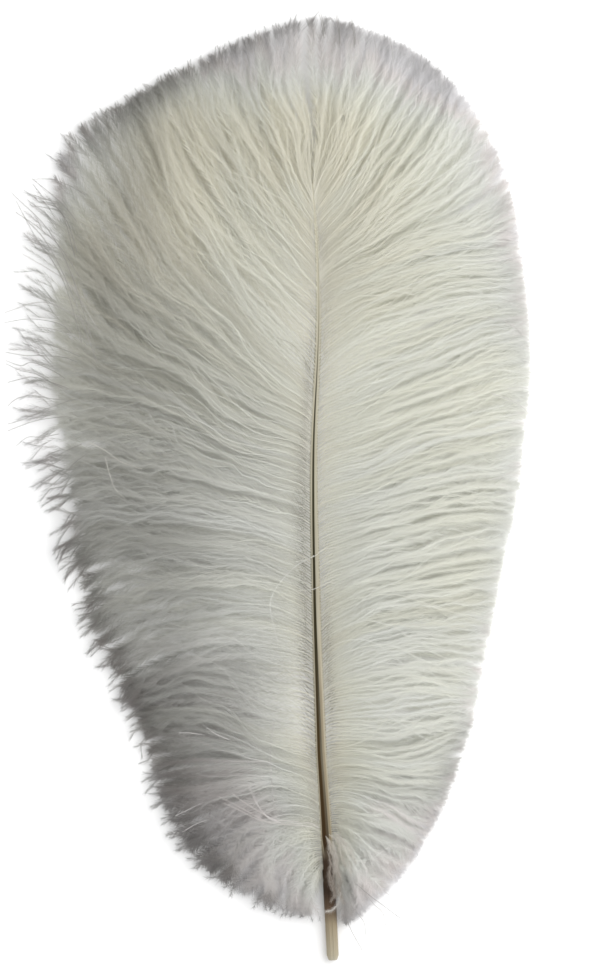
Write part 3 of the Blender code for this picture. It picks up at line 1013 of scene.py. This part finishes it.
def new_material(name):
    """A material, its node tree, its map OFBake, and the two coordinates of that map."""
    made = bpy.data.materials.new(name)
    made.use_nodes = True
    tree = made.node_tree
    place = tree.nodes.new("ShaderNodeUVMap")
    place.uv_map = "OFBake"
    parts = tree.nodes.new("ShaderNodeSeparateXYZ")
    tree.links.new(place.outputs["UV"], parts.inputs["Vector"])
    return made, tree, place.outputs["UV"], parts


def mix(tree, kind, factor, first, second):
    """Two colours mixed. The factor is a number or a socket."""
    node = tree.nodes.new("ShaderNodeMix")
    node.data_type = "RGBA"
    node.blend_type = kind
    if isinstance(factor, (int, float)):
        node.inputs["Factor"].default_value = factor
    else:
        tree.links.new(factor, node.inputs["Factor"])
    tree.links.new(first, node.inputs["A"])
    tree.links.new(second, node.inputs["B"])
    return node.outputs["Result"]


def noise(tree, place, stretch, detail):
    """Noise over the map, which is stretched by so much in each direction."""
    spread = tree.nodes.new("ShaderNodeVectorMath")
    spread.operation = "MULTIPLY"
    spread.inputs[1].default_value = (*stretch, 1)
    tree.links.new(place, spread.inputs[0])
    node = tree.nodes.new("ShaderNodeTexNoise")
    node.inputs["Scale"].default_value = 1.0
    node.inputs["Detail"].default_value = detail
    tree.links.new(spread.outputs["Vector"], node.inputs["Vector"])
    return node.outputs["Fac"]


def between(tree, value, low, high):
    """A value of about 0.3 to 0.7, spread over low to high."""
    node = tree.nodes.new("ShaderNodeMapRange")
    for name, number in (("From Min", 0.3), ("From Max", 0.7), ("To Min", low), ("To Max", high)):
        node.inputs[name].default_value = number
    tree.links.new(value, node.inputs["Value"])
    return node.outputs["Result"]


def add_bump(tree, shader, height, strength, distance_mm):
    node = tree.nodes.new("ShaderNodeBump")
    node.inputs["Strength"].default_value = strength
    node.inputs["Distance"].default_value = distance_mm * MM
    tree.links.new(height, node.inputs["Height"])
    tree.links.new(node.outputs["Normal"], shader.inputs["Normal"])


def barb_material():
    """Matt white keratin that lets light through, creamy in places, with a fine scaly surface."""
    made, tree, place, parts = new_material("barbs")
    shader = tree.nodes["Principled BSDF"]
    cream = ramp(tree, parts.outputs["Y"], [
        (0.0, 0.86, 0.856, 0.866),
        (0.15, 0.879, 0.85, 0.837),
        (0.33, 0.861, 0.872, 0.842),
        (0.66, 0.862, 0.866, 0.797),
        (1.0, 0.862, 0.846, 0.748),
    ])
    tone = ramp(tree, parts.outputs["X"], [
        (0.0, 0.35, 0.34, 0.33),
        (0.5, 0.9, 0.9, 0.9),
        (0.88, 0.985, 0.985, 0.985),
        (0.93, 0.8, 0.75, 0.725),
        (1.0, 0.4, 0.34, 0.31),
    ])
    mottle = ramp(tree, noise(tree, place, (30, 30), 2), [
        (0.3, 0.94, 0.93, 0.92),
        (0.6, 1.0, 1.0, 1.0),
    ])
    colour = mix(tree, "MULTIPLY", 1, mix(tree, "MULTIPLY", 1, cream, tone), mottle)
    tree.links.new(colour, shader.inputs["Base Color"])
    grain = noise(tree, place, (500, 500), 2)
    tree.links.new(between(tree, grain, 0.55, 0.8), shader.inputs["Roughness"])
    add_bump(tree, shader, grain, 0.3, 0.05)
    shader.inputs["Specular IOR Level"].default_value = 0.25
    through = tree.nodes.new("ShaderNodeBsdfTranslucent")
    tree.links.new(colour, through.inputs["Color"])
    mixed = tree.nodes.new("ShaderNodeMixShader")
    mixed.inputs["Fac"].default_value = 0.45
    tree.links.new(shader.outputs["BSDF"], mixed.inputs[1])
    tree.links.new(through.outputs["BSDF"], mixed.inputs[2])
    tree.links.new(mixed.outputs["Shader"], tree.nodes["Material Output"].inputs["Surface"])
    return made


def horn_colour(tree, across, along):
    """Pale horn, darker under the down; its right rim is brown lower down, and above, its right side is
    darker than its left: painted light on the left rim, which faces away from the light.
    """
    horn = ramp(tree, along, [
        (0.0, 0.52, 0.49, 0.41),
        (0.03, 0.4, 0.36, 0.27),
        (0.07, 0.3, 0.25, 0.17),
        (0.09, 0.13, 0.085, 0.055),
        (0.11, 0.055, 0.034, 0.022),
        (0.15, 0.055, 0.034, 0.02),
        (0.17, 0.38, 0.34, 0.25),
        (0.35, 0.4, 0.37, 0.29),
        (0.6, 0.42, 0.4, 0.31),
        (1.0, 0.46, 0.44, 0.35),
    ])
    # Painted light: above, the right side is darker, so the left rim, facing away from the light, looks
    # lit.
    painted_side_light = grey(tree, across, [(0.54, 1.0), (0.548, 0.85)])
    inner_rim = ramp(tree, across, [
        (0.54, 1.0, 1.0, 1.0),
        (0.548, 0.64, 0.6, 0.54),
        (0.62, 0.64, 0.6, 0.54),
        (0.65, 1.0, 1.0, 1.0),
    ])
    rim_part = grey(tree, along, [(0.1, 0), (0.18, 1), (0.36, 1), (0.44, 0)])
    upper_part = grey(tree, along, [(0.38, 0), (0.48, 1)])
    horn = mix(tree, "MULTIPLY", upper_part, horn, painted_side_light)
    return mix(tree, "MULTIPLY", rim_part, horn, inner_rim)


def groove_colour(tree, across, along, horn):
    """The groove's dark brown, with a streak of horn in its right half lower down."""
    dark = ramp(tree, along, [
        (0.16, 0.036, 0.018, 0.004),
        (0.28, 0.046, 0.026, 0.004),
        (0.4, 0.028, 0.021, 0.004),
        (0.6, 0.026, 0.024, 0.004),
        (0.8, 0.1, 0.09, 0.06),
    ])
    paler_side = grey(tree, across, [(0.5, 0), (0.516, 1)])
    streak_part = grey(tree, along, [
        (0.165, 0.15), (0.22, 0.3), (0.27, 0.5), (0.36, 0.2), (0.44, 0),
    ])
    streak = mix(tree, "MULTIPLY", 1, paler_side, streak_part)
    return mix(tree, "MIX", streak, dark, horn)


def groove_part(tree, across, along):
    """1 in the groove, less where it fades toward the tip, and 0 beside it and on the quill."""
    groove = grey(tree, across, [(0.455, 0), (0.468, 1), (0.53, 1), (0.544, 0)])
    open_part = grey(tree, along, [(0.15, 0), (0.165, 1), (0.72, 0.95), (0.87, 0)])
    return mix(tree, "MULTIPLY", 1, groove, open_part)


def shaft_material():
    """Satin horn with fine streaks along it, and its brown groove."""
    made, tree, place, parts = new_material("shaft")
    shader = tree.nodes["Principled BSDF"]
    across, along = parts.outputs["X"], parts.outputs["Y"]
    horn = horn_colour(tree, across, along)
    brown = groove_colour(tree, across, along, horn)
    plain = mix(tree, "MIX", groove_part(tree, across, along), horn, brown)
    fibre = noise(tree, place, (70, 14), 3)
    streaks = ramp(tree, fibre, [
        (0.3, 0.8, 0.77, 0.72),
        (0.65, 1.0, 1.0, 1.0),
    ])
    tree.links.new(mix(tree, "MULTIPLY", 1, plain, streaks), shader.inputs["Base Color"])
    tree.links.new(between(tree, fibre, 0.38, 0.6), shader.inputs["Roughness"])
    add_bump(tree, shader, fibre, 0.35, 0.1)
    shader.inputs["Specular IOR Level"].default_value = 0.12
    return made


def add_floor():
    mesh = bpy.data.meshes.new("floor")
    mesh.from_pydata([(-4, -4, 0), (4, -4, 0), (4, 4, 0), (-4, 4, 0)], [], [(0, 1, 2, 3)])
    floor = new_object("floor", mesh)
    made = bpy.data.materials.new("floor")
    made.use_nodes = True
    shader = made.node_tree.nodes["Principled BSDF"]
    shader.inputs["Base Color"].default_value = (0.95, 0.95, 0.95, 1)
    shader.inputs["Roughness"].default_value = 0.9
    shader.inputs["Specular IOR Level"].default_value = 0.0
    mesh.materials.append(made)


def add_light(name, place, target, size, power):
    data = bpy.data.lights.new(name, "AREA")
    data.shape = "DISK"
    data.size = size
    data.energy = power
    light = new_object(name, data)
    light.location = place
    light.rotation_mode = "QUATERNION"
    light.rotation_quaternion = (Vector(target) - Vector(place)).to_track_quat("-Z", "Y")


def add_camera():
    """Straight above the middle of the photograph's frame, with the plume's tip at the top."""
    data = bpy.data.cameras.new("camera")
    data.lens = 146.5
    camera = new_object("camera", data)
    camera.location = (0.0153, -0.0024, 2.4)
    bpy.context.scene.camera = camera


def add_world():
    world = bpy.data.worlds.new("studio")
    world.use_nodes = True
    shade = world.node_tree.nodes["Background"]
    shade.inputs["Color"].default_value = (1, 1, 1, 1)
    shade.inputs["Strength"].default_value = 0.90
    bpy.context.scene.world = world


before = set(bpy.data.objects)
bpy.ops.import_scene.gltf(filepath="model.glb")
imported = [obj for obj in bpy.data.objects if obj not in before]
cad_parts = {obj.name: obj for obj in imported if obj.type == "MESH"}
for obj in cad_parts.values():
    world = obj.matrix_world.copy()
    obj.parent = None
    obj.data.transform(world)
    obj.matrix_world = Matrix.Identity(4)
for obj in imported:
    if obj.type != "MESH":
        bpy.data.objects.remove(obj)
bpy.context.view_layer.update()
bpy.context.scene.view_settings.view_transform = "Standard"
rng = np.random.default_rng(SEED)
barb_look = barb_material()
coats = []
for name, side in (("left", LEFT), ("right", RIGHT)):
    add_barbs(f"{name}_undercoat", grow(side, UNDERCOAT, rng), UNDERCOAT, 1, barb_look, rng)
    coat = grow(side, COAT, rng)
    coats.append(coat["path"])
    add_barbs(f"{name}_coat", coat, COAT, 2, barb_look, rng)
    add_barbs(f"{name}_strays", grow(side, STRAYS, rng), STRAYS, 1, barb_look, rng)
coat = np.concatenate(coats)
add_barbs("loose_barbs", loose_barbs(LOOSE_BARBS_MM, coat, downy=0.0), LOOSE, 1, barb_look, rng)
add_barbs("fluff", loose_barbs(FLUFF_MM, coat, downy=1.0), FLUFF, 1, barb_look, rng)
shaft = mesh_object("shaft", *shaft_mesh(), shaft_material())
for polygon in shaft.data.polygons:
    polygon.use_smooth = True
keep(shaft)
add_floor()
add_world()
add_light("key", place=(0.55, 0.15, 0.6), target=(0.05, 0, 0), size=0.9, power=5.9)
add_camera()
